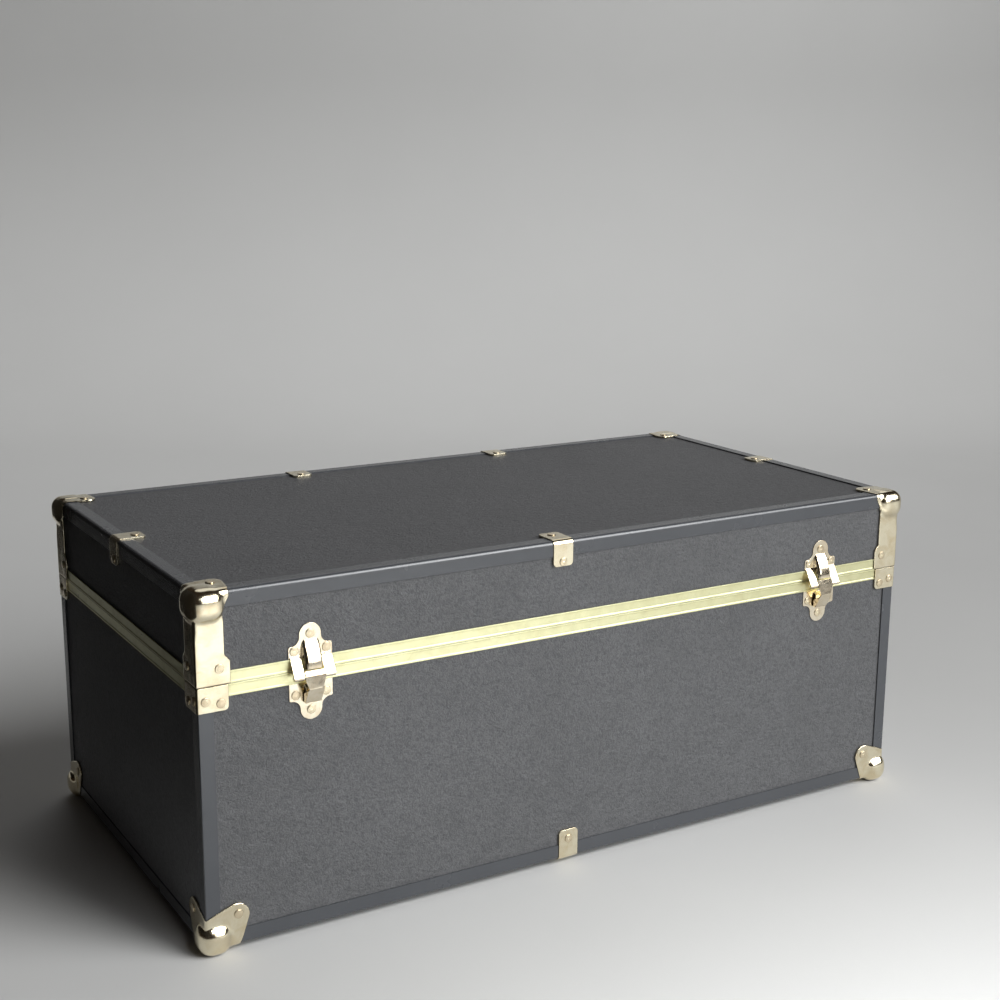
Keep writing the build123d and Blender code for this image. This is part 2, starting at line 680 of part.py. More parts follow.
def hood_form(x, shrink):
    """The bulge pressed out of a latch plate, shrunk to get the hollow inside its sheet."""
    past = HOOD_PROFILE_RADIUS
    low = BOTTOM + HOOD_LIP_HEIGHT - (past if shrink else 0)
    half = LATCH_HOOD_HALF - shrink
    profile = Pos(HOOD_CENTRE_Y, BOTTOM + HOOD_CENTRE_HEIGHT) * Circle(HOOD_PROFILE_RADIUS - shrink)
    profile &= Pos(-FACE_Y, low) * Rectangle(past, 2 * past, align=(Align.CENTER, Align.MIN))
    bulge = extrude(side_plane(x - half) * profile, amount=2 * half)
    return fillet(bulge.edges().filter_by(GeomType.CIRCLE), HOOD_EDGE_RADIUS - shrink)


def latch_hood(x, root):
    """The hood's sheet: it stands out of the plate, and below root it hangs clear of the rim."""
    behind = block((x - EAR_HALF, x + EAR_HALF), (-FACE_Y, 0), (BOTTOM, TOP))
    rim_front = block((x - EAR_HALF, x + EAR_HALF), (-RAIL_Y - HOOD_RIM_GAP, 0), (BOTTOM, BOTTOM + root))
    return hood_form(x, 0) - hood_form(x, SHEET) - behind - rim_front


def latch_plate(x):
    """The lid's half of a latch: plate, two legs that end in rolled knuckles, and the hood."""
    root = JOINT_HEIGHT + RAIL_HEIGHT + RIM_GAP
    outline = latch_plate_outline(PLATE_EAR_HEIGHT, PLATE_LOBE_HEIGHT, root)
    plate = flat_plate(outline, x) - hood_form(x, SHEET) + latch_hood(x, root)
    pin = (LATCH_PIN_Y, BOTTOM + LATCH_PIN_HEIGHT)
    knee = (-RAIL_Y - LEG_RIM_GAP, BOTTOM + root - LEG_KNEE_DROP)
    rolled = tangent_point(knee, pin, LATCH_KNUCKLE_RADIUS - SHEET / 2)
    leg = Polyline(
        (SHEET_Y, BOTTOM + root + 2 * LEG_BEND), (SHEET_Y, BOTTOM + root + LEG_BEND), knee, rolled)
    for low, high in ((-LATCH_LEG_OUTER, -LATCH_LEG_INNER), (LATCH_LEG_INNER, LATCH_LEG_OUTER)):
        plate += strip_x(leg, (x + low, x + high), SHEET)
        plate += cylinder_x(x + low, x + high, *pin, LATCH_KNUCKLE_RADIUS)
    return plate - cylinder_x(x - EAR_HALF, x + EAR_HALF, *pin, LATCH_BORE_RADIUS)


def latch_pin(x):
    half = LATCH_LEG_OUTER
    pin = (LATCH_PIN_Y, BOTTOM + LATCH_PIN_HEIGHT)
    return cylinder_x(x - half, x + half, *pin, LATCH_PIN_RADIUS)


def latch_keeper(x):
    """The base's half of a latch: a plate with a catch pressed out of its middle."""
    root = JOINT_HEIGHT - RAIL_HEIGHT - RIM_GAP
    plate = flat_plate(latch_plate_outline(KEEPER_EAR_HEIGHT, KEEPER_LOBE_HEIGHT, root), x)
    catch_y = SHEET_Y - CATCH_PROUD
    path = zip((SHEET_Y, catch_y, catch_y, SHEET_Y), CATCH_HEIGHTS)
    catch = Polyline(*[(y, BOTTOM + height) for y, height in path])
    return plate + strip_x(catch, (x - CATCH_HALF, x + CATCH_HALF), SHEET)


def lever_outline():
    """The lever seen from the front: (across, height), wide at the barrel and waisted below it."""
    barrel_bottom = LATCH_PIN_HEIGHT - LATCH_KNUCKLE_RADIUS
    neck = 2.0      # height of the slopes from the waist to the tail
    right = [
        (LEVER_BARREL_HALF, LEVER_NOSE_HEIGHT + SHEET), (LEVER_BARREL_HALF, barrel_bottom),
        (LEVER_BEAK_HALF, LEVER_BEAK_HEIGHT), (LEVER_TAIL_HALF, LEVER_BEAK_HEIGHT - neck),
        (LEVER_TAIL_HALF, LEVER_LIP_HEIGHT - neck),
    ]
    left = [(-across, height) for across, height in reversed(right)]
    return make_face(Polyline(*[(a, BOTTOM + h) for a, h in right + left], close=True))


def latch_lever(x):
    """The lever: a nose above the pin, a rolled barrel, and a channel tail that ends in a hook."""
    pin = (LATCH_PIN_Y, BOTTOM + LATCH_PIN_HEIGHT)
    front_y = LATCH_PIN_Y - LATCH_KNUCKLE_RADIUS + SHEET / 2
    beak = (LEVER_BEAK_Y, BOTTOM + LEVER_BEAK_HEIGHT)
    lip = (LEVER_LIP_Y, BOTTOM + LEVER_LIP_HEIGHT)
    shell = FilletPolyline(
        (front_y + LEVER_NOSE_LEAN, BOTTOM + LEVER_NOSE_HEIGHT), (front_y, BOTTOM + LEVER_BEND_HEIGHT),
        beak, lip, (-FACE_Y - LEVER_HOOK_PROUD, lip[1]), radius=list(LEVER_BEND_RADII))
    half = LEVER_BARREL_HALF
    sheet = strip_x(shell, (x - half, x + half), SHEET)
    plane = Plane(origin=(x, -FACE_Y, 0), x_dir=(1, 0, 0), z_dir=(0, -1, 0))
    lever = sheet & extrude(plane * lever_outline(), amount=LEVER_DEPTH)
    lever += cylinder_x(x - half, x + half, *pin, LATCH_KNUCKLE_RADIUS)
    flange_top = beak[1] - 2.6 * SHEET
    flange = [
        (LEVER_BEAK_Y + SHEET, flange_top), lip, (-FACE_Y - FLANGE_BACK, lip[1]),
        (-FACE_Y - FLANGE_BACK, BOTTOM + FLANGE_TOP_HEIGHT), (LEVER_BEAK_Y + 3 * SHEET, flange_top),
    ]
    for low in (-LEVER_TAIL_HALF, LEVER_TAIL_HALF - SHEET):
        lever += prism(flange, x + low, SHEET, "X")
    return lever - cylinder_x(x - EAR_HALF, x + EAR_HALF, *pin, LATCH_BORE_RADIUS)


def latch_rivets(x, lobe_height, ear_height, spread):
    """Three rivets in a latch plate, as (point, outward)."""
    places = ((-spread, ear_height), (spread, ear_height), (0, lobe_height))
    return [
        ((x + across, -FACE_Y - SHEET, BOTTOM + height), (0, -1, 0)) for across, height in places
    ]


# Lid stays ----------------------------------------------------------------------------------------

STAY_Y = HINGE_AXIS_Y - STAY_FORWARD
STAY_PIVOT_Z = JOINT + STAY_OFFSET
STAY_STUD_Z = JOINT - STAY_OFFSET
STAY_BRACKET_X = WALL_X - LINING_THICKNESS      # the brackets stand on the lining
STAY_BRACKET_THICKNESS = 1.3
STAY_HEAD_THICKNESS = 1.8
STAY_BRACKET_SPREAD = 13.0                      # of its rivets


def stay_bracket(z, shank_radius, head_radius):
    """A bracket on the left wall with a stud that carries the arm, pointing into the trunk."""
    plate_inner = STAY_BRACKET_X - STAY_BRACKET_THICKNESS
    arm_outer = STAY_ARM_X + STAY_ARM_THICKNESS / 2
    arm_inner = STAY_ARM_X - STAY_ARM_THICKNESS / 2
    head_outer = arm_inner - STAY_SIDE_GAP
    shoulder_radius = 5.0
    plan = RectangleRounded(40, 16, CLAMP_CORNER_RADIUS)
    bracket = extrude(
        side_plane(-STAY_BRACKET_X) * Pos(STAY_Y, z) * plan, amount=STAY_BRACKET_THICKNESS)
    bracket += cylinder_x(-plate_inner, -arm_outer - STAY_SIDE_GAP, STAY_Y, z, shoulder_radius)
    bracket += cylinder_x(-plate_inner, -head_outer, STAY_Y, z, shank_radius)
    bracket += cylinder_x(
        -head_outer, -head_outer + STAY_HEAD_THICKNESS, STAY_Y, z, head_radius)
    return bracket


def stay_reach(open_angle):
    """Distance from the lid's pivot to the base's stud with the lid open by an angle."""
    arm = hypot(STAY_FORWARD, STAY_OFFSET)
    closed = 2 * atan2(STAY_OFFSET, STAY_FORWARD)
    return 2 * arm * sin((closed + radians(open_angle)) / 2)


def stay_arm():
    """The slotted arm on the left, hanging straight down from the lid's pivot."""
    end_play = 0.3
    half = STAY_ARM_WIDTH / 2
    nearest = stay_reach(0) - end_play
    farthest = stay_reach(LID_OPEN_ANGLE) + end_play
    length = farthest + 2 * half
    outline = Pos(0, -(length / 2 - half)) * SlotOverall(length, STAY_ARM_WIDTH, rotation=90)
    slot_length = farthest - nearest + STAY_SLOT_WIDTH
    slot = Pos(0, -(nearest + farthest) / 2) * SlotOverall(slot_length, STAY_SLOT_WIDTH, rotation=90)
    face = outline - slot - Circle(STAY_PIVOT_HOLE_RADIUS)
    place = side_plane(-STAY_ARM_X - STAY_ARM_THICKNESS / 2) * Pos(STAY_Y, STAY_PIVOT_Z)
    return extrude(place * face, amount=STAY_ARM_THICKNESS)


def stay_rivets(z):
    """The two rivets of a left bracket, as (point, outward)."""
    x = -STAY_BRACKET_X + STAY_BRACKET_THICKNESS
    return [
        ((x, STAY_Y + side * STAY_BRACKET_SPREAD, z), (1, 0, 0)) for side in (-1, 1)
    ]


# Where everything goes ----------------------------------------------------------------------------

LID_CLAMPS_FRONT = [-34.0]      # middle of each strap, from the trunk's middle
LID_CLAMPS_BACK = [-130.0, 130.0]
LID_CLAMPS_END = [8.0]
BASE_CLAMPS_FRONT = [-23.0]
BASE_CLAMPS_BACK = [-23.0]
LID_CLAMP_DROP = 25.5
LID_CLAMP_REACH = 29.0
BASE_CLAMP_DROP = 31.0


def reflected(rivets, sides):
    """Rivets repeated with their X and Y multiplied by each pair of signs in sides."""
    return [
        ((sx * x, sy * y, z), (sx * nx, sy * ny, nz))
        for (x, y, z), (nx, ny, nz) in rivets for sx, sy in sides
    ]


EVERY_CORNER = [(1, 1), (-1, 1), (1, -1), (-1, -1)]
BOTH_ENDS = [(1, 1), (-1, 1)]


def face_pair(across, height):
    """A rivet on the front face and one on the left face, both across from the front left edge."""
    z = BOTTOM + height
    return [
        ((-HALF_WIDTH + across, -OUTER_Y, z), (0, -1, 0)),
        ((-OUTER_X, -HALF_DEPTH + across, z), (-1, 0, 0)),
    ]


def level_rivet(inset, level, outward):
    """A rivet on the top or the underside, in from both edges of the front left corner."""
    return ((-HALF_WIDTH + inset, -HALF_DEPTH + inset, level + outward * SHEET), (0, 0, outward))


def base_rivets():
    foot_inset = 30.5
    keeper_spread, keeper_height, keeper_lobe = 14.8, 225, 209.8
    corner = face_pair(foot_inset, foot_inset)
    corner.append(level_rivet(foot_inset, BOTTOM, -1))
    corner += face_pair(7.0, 234.5) + face_pair(21.0, 231.0)
    places = reflected(corner, EVERY_CORNER)
    for x in BASE_CLAMPS_FRONT:
        places += clamp_rivets("front", x, BOTTOM, -1)
    for x in BASE_CLAMPS_BACK:
        places += reflected(clamp_rivets("front", x, BOTTOM, -1), [(1, -1)])
    for x in LATCH_X.values():
        places += latch_rivets(x, keeper_lobe, keeper_height, keeper_spread)
    for x in (-HINGE_X, HINGE_X):
        places += hinge_rivets(x, -1)
    places += reflected(stay_rivets(STAY_STUD_Z), BOTH_ENDS)
    return RivetGroup(places)


def lid_rivets():
    top_inset = 24.0
    plate_spread, plate_height, plate_lobe = 15.5, 266.0, 280.8
    corner = face_pair(20.5, 262.5)
    corner.append(level_rivet(top_inset, TOP, 1))
    places = reflected(corner, EVERY_CORNER)
    for x in LID_CLAMPS_FRONT:
        places += clamp_rivets("front", x, TOP, 1)
    for x in LID_CLAMPS_BACK:
        places += reflected(clamp_rivets("front", -abs(x), TOP, 1), [(-1 if x > 0 else 1, -1)])
    for y in LID_CLAMPS_END:
        places += reflected(clamp_rivets("left", y, TOP, 1), BOTH_ENDS)
    for x in LATCH_X.values():
        places += latch_rivets(x, plate_lobe, plate_height, plate_spread)
    for x in (-HINGE_X, HINGE_X):
        places += hinge_rivets(x, 1)
    places += reflected(stay_rivets(STAY_PIVOT_Z), BOTH_ENDS)
    return RivetGroup(places)


def base_parts():
    """Every node of the base that a rivet may pass through."""
    shell = base_shell()
    parts = {f"base_{side}_panel": panel for side, panel in base_panels().items()}
    parts |= {f"base_binding_{side}": bar for side, bar in bottom_bindings().items()}
    feet = four_corners(foot_corner(shell))
    posts = four_corners(post_binding())
    rims = four_corners(rim_corner(shell))
    for name, post, rim_piece, foot in zip(CORNER_NAMES, posts, rims, feet):
        parts[f"post_binding_{name}"] = post
        parts[f"rim_corner_{name}"] = rim_piece
        parts[f"foot_corner_{name}"] = foot
    clamps = []
    for x in BASE_CLAMPS_FRONT:
        clamps.append(clamp(shell, "front", x, BOTTOM, -1, BASE_CLAMP_DROP, LID_CLAMP_REACH))
    for x in BASE_CLAMPS_BACK:
        strap = clamp(shell, "front", x, BOTTOM, -1, BASE_CLAMP_DROP, LID_CLAMP_REACH)
        clamps.append(mirror(strap, about=Plane.XZ))
    parts["base_edge_clamps"] = clamps
    parts["base_valance"] = rim(-1, tongue=True)
    parts["base_lining"] = lining(FACE_BOTTOM + PANEL_THICKNESS, JOINT - RAIL_HEIGHT - 0.2)
    knuckles = hinge_knuckles()[1]
    for side, sign in (("left", -1), ("right", 1)):
        parts[f"latch_keeper_{side}"] = latch_keeper(LATCH_X[side])
        parts[f"hinge_base_leaf_{side}"] = hinge_leaf(sign * HINGE_X, -1, knuckles)
    parts["stay_studs"] = left_right(stay_bracket(STAY_STUD_Z, STAY_STUD_RADIUS, 5.5))
    return parts


def lid_parts():
    """Every node of the lid that a rivet may pass through."""
    shell = lid_shell()
    parts = {f"lid_{side}_panel": panel for side, panel in lid_panels().items()}
    parts |= {f"lid_binding_{side}": bar for side, bar in top_bindings().items()}
    for name, corner in zip(CORNER_NAMES, four_corners(lid_corner(shell))):
        parts[f"lid_corner_{name}"] = corner
    clamps = []
    for x in LID_CLAMPS_FRONT:
        clamps.append(clamp(shell, "front", x, TOP, 1, LID_CLAMP_DROP, LID_CLAMP_REACH))
    for x in LID_CLAMPS_BACK:
        strap = clamp(shell, "front", -abs(x), TOP, 1, LID_CLAMP_DROP, LID_CLAMP_REACH)
        strap = mirror(strap, about=Plane.XZ)
        clamps.append(mirror(strap, about=Plane.YZ) if x > 0 else strap)
    for y in LID_CLAMPS_END:
        clamps += left_right(clamp(shell, "left", y, TOP, 1, LID_CLAMP_DROP, LID_CLAMP_REACH))
    parts["lid_edge_clamps"] = clamps
    parts["lid_valance"] = rim(1, tongue=False)
    parts["lid_lining"] = lining(FACE_TOP - PANEL_THICKNESS, JOINT + RAIL_HEIGHT + 0.2)
    knuckles = hinge_knuckles()[0]
    for side, sign in (("left", -1), ("right", 1)):
        parts[f"latch_plate_{side}"] = latch_plate(LATCH_X[side])
        parts[f"hinge_lid_leaf_{side}"] = hinge_leaf(sign * HINGE_X, 1, knuckles)
    parts["stay_pivots"] = left_right(stay_bracket(STAY_PIVOT_Z, STAY_PIVOT_RADIUS, 4.5))
    return parts


def loose_parts():
    """The pins and the moving pieces, which no rivet passes through."""
    parts = {
        "hinge_pins": [hinge_pin(x) for x in (-HINGE_X, HINGE_X)],
        "latch_pins": [latch_pin(x) for x in LATCH_X.values()],
    }
    for (side, x), arm in zip(LATCH_X.items(), left_right(stay_arm())):
        parts[f"latch_lever_{side}"] = latch_lever(x)
        parts[f"stay_arm_{side}"] = arm
    return parts


def drilled(parts, rivets):
    """The parts with their rivet holes; a list of solids stays a list."""
    return {
        name: [rivets.drill(s) for s in shape] if isinstance(shape, list) else rivets.drill(shape)
        for name, shape in parts.items()
    }


def write(name, shape):
    """Write one node, as one solid or as a group of separate solids."""
    shapes = shape if isinstance(shape, list) else [shape]
    group = [solid for one in shapes for solid in one.solids()]
    whole = group[0] if len(group) == 1 else Compound(children=group)
    export_step(whole, f"parts/{name}.step")


def main():
    os.makedirs("parts", exist_ok=True)
    base_group, lid_group = base_rivets(), lid_rivets()
    parts = drilled(base_parts(), base_group) | drilled(lid_parts(), lid_group) | loose_parts()
    parts["base_rivets"] = base_group.rivets
    parts["lid_rivets"] = lid_group.rivets
    for name, shape in parts.items():
        write(name, shape)


main()
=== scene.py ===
"""Looks, light and camera for the steamer trunk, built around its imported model. Metres."""
import bpy
import json
import math
from mathutils import Matrix, Vector


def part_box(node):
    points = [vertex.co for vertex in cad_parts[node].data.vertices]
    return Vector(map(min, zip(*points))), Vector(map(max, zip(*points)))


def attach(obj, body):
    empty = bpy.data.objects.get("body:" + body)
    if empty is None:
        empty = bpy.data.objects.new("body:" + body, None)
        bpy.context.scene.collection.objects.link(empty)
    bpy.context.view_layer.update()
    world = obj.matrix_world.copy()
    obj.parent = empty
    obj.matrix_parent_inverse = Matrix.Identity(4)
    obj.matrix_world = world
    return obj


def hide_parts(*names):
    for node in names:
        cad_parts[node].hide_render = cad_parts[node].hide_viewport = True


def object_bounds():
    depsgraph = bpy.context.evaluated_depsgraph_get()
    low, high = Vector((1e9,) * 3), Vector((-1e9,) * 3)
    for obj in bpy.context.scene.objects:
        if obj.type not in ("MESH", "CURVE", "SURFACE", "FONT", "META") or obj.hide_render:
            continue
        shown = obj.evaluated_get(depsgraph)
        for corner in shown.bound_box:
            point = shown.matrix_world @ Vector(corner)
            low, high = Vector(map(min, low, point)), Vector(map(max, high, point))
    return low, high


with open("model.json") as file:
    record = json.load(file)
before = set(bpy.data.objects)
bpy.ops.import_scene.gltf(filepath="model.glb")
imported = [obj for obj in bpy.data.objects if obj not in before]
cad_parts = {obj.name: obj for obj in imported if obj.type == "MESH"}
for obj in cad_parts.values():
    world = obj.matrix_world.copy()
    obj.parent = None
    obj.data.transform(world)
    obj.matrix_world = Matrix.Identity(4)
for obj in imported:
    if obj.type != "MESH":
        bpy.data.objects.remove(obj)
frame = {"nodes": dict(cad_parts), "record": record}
CAD_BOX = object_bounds()
SLOT_OF = {row["node"]: row["material_slot"] for row in frame["record"]["subparts"]}
BODIES = frame["record"]["behaviour"]["bodies"]
BODY_OF = {node: body for body, nodes in BODIES.items() for node in nodes}

# The camera, from where the trunk was seen: on the front left, a little above it.
CAMERA_PLACE = Vector((-0.8335, -1.4328, 0.7103))
CAMERA_YAW = math.radians(30.826)       # away from +Y towards +X
CAMERA_PITCH = math.radians(12.8455)    # down
CAMERA_ROLL = math.radians(0.3354)
CAMERA_LENS = 56.38                     # millimetres
CAMERA_SENSOR = 36.0                    # millimetres

# Suns: azimuth turns from the trunk's front towards its right, angle is the sun's breadth. Degrees.
DAYLIGHT = (0.98, 0.99, 1.0)
SUNS = {
    "daylight": {"azimuth": 42.0, "elevation": 33.0, "power": 2.3, "angle": 40.0},
    "back_fill": {"azimuth": 145.0, "elevation": 42.0, "power": 0.3, "angle": 40.0},
}

# Soft boxes: the window at the front right, a wash on the wall and a pool on the floor in front.
SOFT_BOXES = {
    "window": {
        "place": (1.05, -2.5, 1.3), "target": (0.0, -0.1, 0.15), "size": (1.7, 1.9),
        "power": 50.0, "spread": 180.0,
    },
    "wall_wash": {
        "place": (1.6, 1.0, 2.3), "target": (1.2, 2.6, 0.7), "size": (2.4, 0.8),
        "power": 8.0, "spread": 120.0,
    },
    "pool": {
        "place": (-0.05, -1.25, 0.95), "target": (0.0, -1.0, 0.0), "size": (0.8, 0.5),
        "power": 5.0, "spread": 80.0,
    },
}

# The room past the stage: the warm dimness that the brass mirrors, and the grey that the camera sees.
ROOM_COLOUR = (1.0, 0.66, 0.40, 1.0)
ROOM_STRENGTH = 0.02
BACKDROP_COLOUR = (0.46, 0.46, 0.46, 1.0)

# The sweep, along the camera's level view: a flat floor, a quarter-round bend and a low wall.
SWEEP_FRONT = -6.0
SWEEP_BEND_START = 2.0
SWEEP_BEND_RADIUS = 0.9
SWEEP_BEND_STEPS = 24
SWEEP_HEIGHT = 1.45
SWEEP_HALF_WIDTH = 7.0

# The flag, an upright card along the trunk's left side.
FLAG_X = -0.56
FLAG_FRONT = -0.45
FLAG_BACK = 1.9
FLAG_BOTTOM = 0.06
FLAG_TOP = 1.7

# Ball corners, softened within the ball's reach from the corner's outermost point.
BALL_CORNERS = ("lid_corner", "foot_corner")
VOXEL = 0.0007
BALL_REACH = 0.036
FADE = 0.008
SOFTENING_FACTOR = 0.5
SOFTENING_STEPS = 60

# Brass: bright and tarnished colours, least and most roughness, and the grain's stretch if brushed.
BRASSES = {
    "pressed_brass": {
        "light": (0.84, 0.77, 0.58), "dark": (0.66, 0.53, 0.33), "rough": (0.1, 0.22)},
    "rolled_brass": {
        "light": (0.82, 0.80, 0.50), "dark": (0.70, 0.67, 0.38), "rough": (0.24, 0.34),
        "brushed": (0.02, 0.02, 1.0)},
    "latch_brass": {
        "light": (0.84, 0.76, 0.60), "dark": (0.62, 0.49, 0.32), "rough": (0.08, 0.18)},
    "rivet_brass": {
        "light": (0.80, 0.70, 0.50), "dark": (0.60, 0.46, 0.30), "rough": (0.2, 0.34)},
}
# Painted shade, partly grime: the dark brown the brass turns to in creases and beside rivets.
BRASS_SHADE_AND_GRIME = (0.10, 0.065, 0.035)
PATCH_SHARE = 0.55                      # of the tarnished colour, in the darkest patches
CREASE_REACH = 0.0025
EDGE_RADIUS = 0.0006
BRUSHED_EDGE_RADIUS = 0.0004

# How many rays the shading nodes send to feel for creases and for edges.
CREASE_SAMPLES = 6
EDGE_SAMPLES = 4

# Blender's Mix node keeps its two colours and their mixture at these places.
MIX_FIRST, MIX_SECOND, MIX_RESULT = 6, 7, 2


# Shader graphs ------------------------------------------------------------------------------------

class Graph:
    """A material's node graph around one Principled shader, in the trunk's own coordinates."""

    def __init__(self, name):
        self.material = bpy.data.materials.new(name)
        self.material.use_nodes = True
        self.tree = self.material.node_tree
        self.shader = self.tree.nodes["Principled BSDF"]
        self.place = self.add("ShaderNodeTexCoord").outputs["Object"]

    def add(self, kind, inputs=None, **settings):
        """A node with its settings; inputs gives each socket a value or another node's output."""
        node = self.tree.nodes.new(kind)
        for key, value in settings.items():
            setattr(node, key, value)
        for socket, value in (inputs or {}).items():
            self.feed(node.inputs[socket], value)
        return node

    def feed(self, socket, value):
        """A link into a socket when the value is a node's output, or a plain value."""
        if isinstance(value, bpy.types.NodeSocket):
            self.tree.links.new(value, socket)
        else:
            socket.default_value = value

    def set(self, **inputs):
        """Shader inputs by name, with underscores for spaces."""
        for name, value in inputs.items():
            self.feed(self.shader.inputs[name.replace("_", " ")], value)

    def stretched(self, x=1.0, y=1.0, z=1.0):
        """The coordinates scaled along each axis, for grain that runs one way."""
        return self.add("ShaderNodeMapping", {"Vector": self.place, "Scale": (x, y, z)}).outputs[0]

    def noise(self, scale, detail=4.0, rough=0.5, distortion=0.0, vector=None):
        """Noise from 0 to 1; scale is in features per metre."""
        inputs = {
            "Vector": vector or self.place, "Scale": scale, "Detail": detail,
            "Roughness": rough, "Distortion": distortion,
        }
        return self.add("ShaderNodeTexNoise", inputs).outputs["Fac"]

    def cells(self, scale):
        """Distance to the nearest of many scattered points; scale is in points per metre."""
        inputs = {"Vector": self.place, "Scale": scale}
        return self.add("ShaderNodeTexVoronoi", inputs).outputs["Distance"]

    def ramp(self, value, first, second):
        """A value run through two (position, level) stops."""
        node = self.add("ShaderNodeValToRGB", {"Fac": value})
        for element, (position, level) in zip(node.color_ramp.elements, (first, second)):
            element.position = position
            element.color = (level, level, level, 1.0)
        return node.outputs["Color"]

    def mix(self, factor, first, second):
        """Two colours mixed; factor, first and second may be sockets."""
        node = self.add("ShaderNodeMix", data_type="RGBA")
        self.feed(node.inputs["Factor"], factor)
        for socket, colour in ((MIX_FIRST, first), (MIX_SECOND, second)):
            opaque = (*colour, 1.0) if isinstance(colour, tuple) else colour
            self.feed(node.inputs[socket], opaque)
        return node.outputs[MIX_RESULT]

    def math(self, operation, first, second):
        """Two values added, multiplied or the like."""
        node = self.add("ShaderNodeMath", operation=operation)
        self.feed(node.inputs[0], first)
        self.feed(node.inputs[1], second)
        return node.outputs[0]

    def remap(self, value, low, high):
        """A value from 0..1 spread over low..high."""
        inputs = {"Value": value, "To Min": low, "To Max": high}
        return self.add("ShaderNodeMapRange", inputs).outputs["Result"]

    def creases(self, distance):
        """1 on open surface, falling to 0 in creases and beside rivets, where shade falls."""
        inputs = {"Distance": distance}
        return self.add("ShaderNodeAmbientOcclusion", inputs, samples=CREASE_SAMPLES).outputs["AO"]

    def rounded_edges(self, radius):
        """A normal that turns softly over the sheet's edges."""
        return self.add("ShaderNodeBevel", {"Radius": radius}, samples=EDGE_SAMPLES).outputs["Normal"]

    def bump(self, height, distance, strength, under=None):
        """A normal from a height map; distance is in metres, under is an earlier normal."""
        inputs = {"Height": height, "Distance": distance, "Strength": strength}
        if under is not None:
            inputs["Normal"] = under
        return self.add("ShaderNodeBump", inputs).outputs["Normal"]


def covered_board():
    """Black grained fibre sheet glued over plywood: pebbled, creased and mottled, with a low sheen."""
    black = (0.086, 0.087, 0.090)
    charcoal = (0.109, 0.110, 0.114)
    bloom = (0.135, 0.136, 0.142)
    crack = (0.055, 0.056, 0.060)
    pore = (0.04, 0.041, 0.043)
    scrape = (0.16, 0.16, 0.158)
    g = Graph("covered_board")
    pebble = g.ramp(g.cells(scale=480.0), (0.0, 1.0), (0.75, 0.0))
    fine = g.noise(scale=1300.0, detail=5.0, rough=0.7)
    leather = g.noise(scale=330.0, rough=0.62, distortion=0.9, vector=g.stretched(0.8, 0.8, 1.0))
    crease = g.noise(scale=85.0, detail=5.0, rough=0.62, distortion=1.8)
    cloud = g.noise(scale=7.0, rough=0.6)
    mottle = g.noise(scale=42.0, detail=5.0, rough=0.65)
    scratch = g.noise(scale=260.0, detail=2.0, vector=g.stretched(0.05, 0.4, 1.0))
    worn = g.ramp(cloud, (0.5, 0.0), (0.7, 0.5))
    scuff = g.math("MULTIPLY", g.ramp(scratch, (0.72, 0.0), (0.78, 0.6)), worn)
    tone = g.mix(g.ramp(cloud, (0.32, 0.0), (0.7, 1.0)), black, charcoal)
    tone = g.mix(g.ramp(mottle, (0.42, 0.0), (0.75, 0.5)), tone, bloom)
    tone = g.mix(g.ramp(leather, (0.38, 0.75), (0.56, 0.0)), tone, crack)
    tone = g.mix(g.ramp(fine, (0.35, 0.6), (0.6, 0.0)), tone, pore)
    tone = g.mix(scuff, tone, scrape)
    relief = g.bump(crease, distance=0.0022, strength=0.5)
    relief = g.bump(leather, distance=0.0009, strength=0.55, under=relief)
    relief = g.bump(pebble, distance=0.0005, strength=0.45, under=relief)
    relief = g.bump(fine, distance=0.0004, strength=0.35, under=relief)
    g.set(Base_Color=tone, Roughness=g.remap(mottle, 0.5, 0.66), Normal=relief)
    g.set(Specular_IOR_Level=0.5)
    return g.material


def satin_binding():
    """Glossy black folded edging with fine handling marks and a few pale rubs."""
    black = (0.040, 0.043, 0.049)
    grey = (0.056, 0.060, 0.067)
    rubbed = (0.24, 0.24, 0.23)
    g = Graph("satin_binding")
    cloud = g.noise(scale=14.0, rough=0.6)
    fine = g.noise(scale=900.0, rough=0.6)
    rub = g.noise(scale=120.0, detail=6.0, rough=0.75, distortion=0.6)
    tone = g.mix(cloud, black, grey)
    tone = g.mix(g.ramp(rub, (0.68, 0.0), (0.74, 0.5)), tone, rubbed)
    g.set(Base_Color=tone, Roughness=g.remap(cloud, 0.2, 0.32))
    g.set(Normal=g.bump(fine, distance=0.0002, strength=0.2), Specular_IOR_Level=0.75)
    return g.material


def brass(name, light, dark, rough, brushed=None):
    """Bright brass plate: cloudy tarnish, painted shade with some grime darkening its creases, soft edges
    and fine scratches.
    """
    g = Graph(name)
    cloud = g.noise(scale=60.0, detail=5.0, rough=0.6, distortion=0.8)
    patch = g.noise(scale=260.0, detail=5.0, rough=0.65, distortion=0.4)
    darkest = tuple(PATCH_SHARE * channel for channel in dark)
    tone = g.mix(g.ramp(cloud, (0.4, 0.0), (0.75, 0.8)), light, dark)
    tone = g.mix(g.ramp(patch, (0.62, 0.0), (0.8, 0.4)), tone, darkest)
    # Painted shade, partly grime: darkened where the occlusion node finds the surface hemmed in, in
    # creases and beside rivets.
    tone = g.mix(g.ramp(g.creases(CREASE_REACH), (0.35, 0.9), (0.8, 0.0)), tone, BRASS_SHADE_AND_GRIME)
    if brushed is None:
        lines = g.noise(scale=1800.0, detail=3.0, rough=0.6)
        dents = g.noise(scale=48.0, detail=2.0)
        surface = g.bump(dents, distance=0.0012, strength=0.3, under=g.rounded_edges(EDGE_RADIUS))
    else:
        lines = g.noise(scale=2400.0, detail=2.0, vector=g.stretched(*brushed))
        surface = g.rounded_edges(BRUSHED_EDGE_RADIUS)
    relief = g.bump(lines, distance=0.0001, strength=0.2, under=surface)
    roughness = g.math("ADD", g.remap(cloud, *rough), g.remap(patch, -0.03, 0.06))
    g.set(Base_Color=tone, Roughness=roughness, Normal=relief, Metallic=1.0)
    return g.material


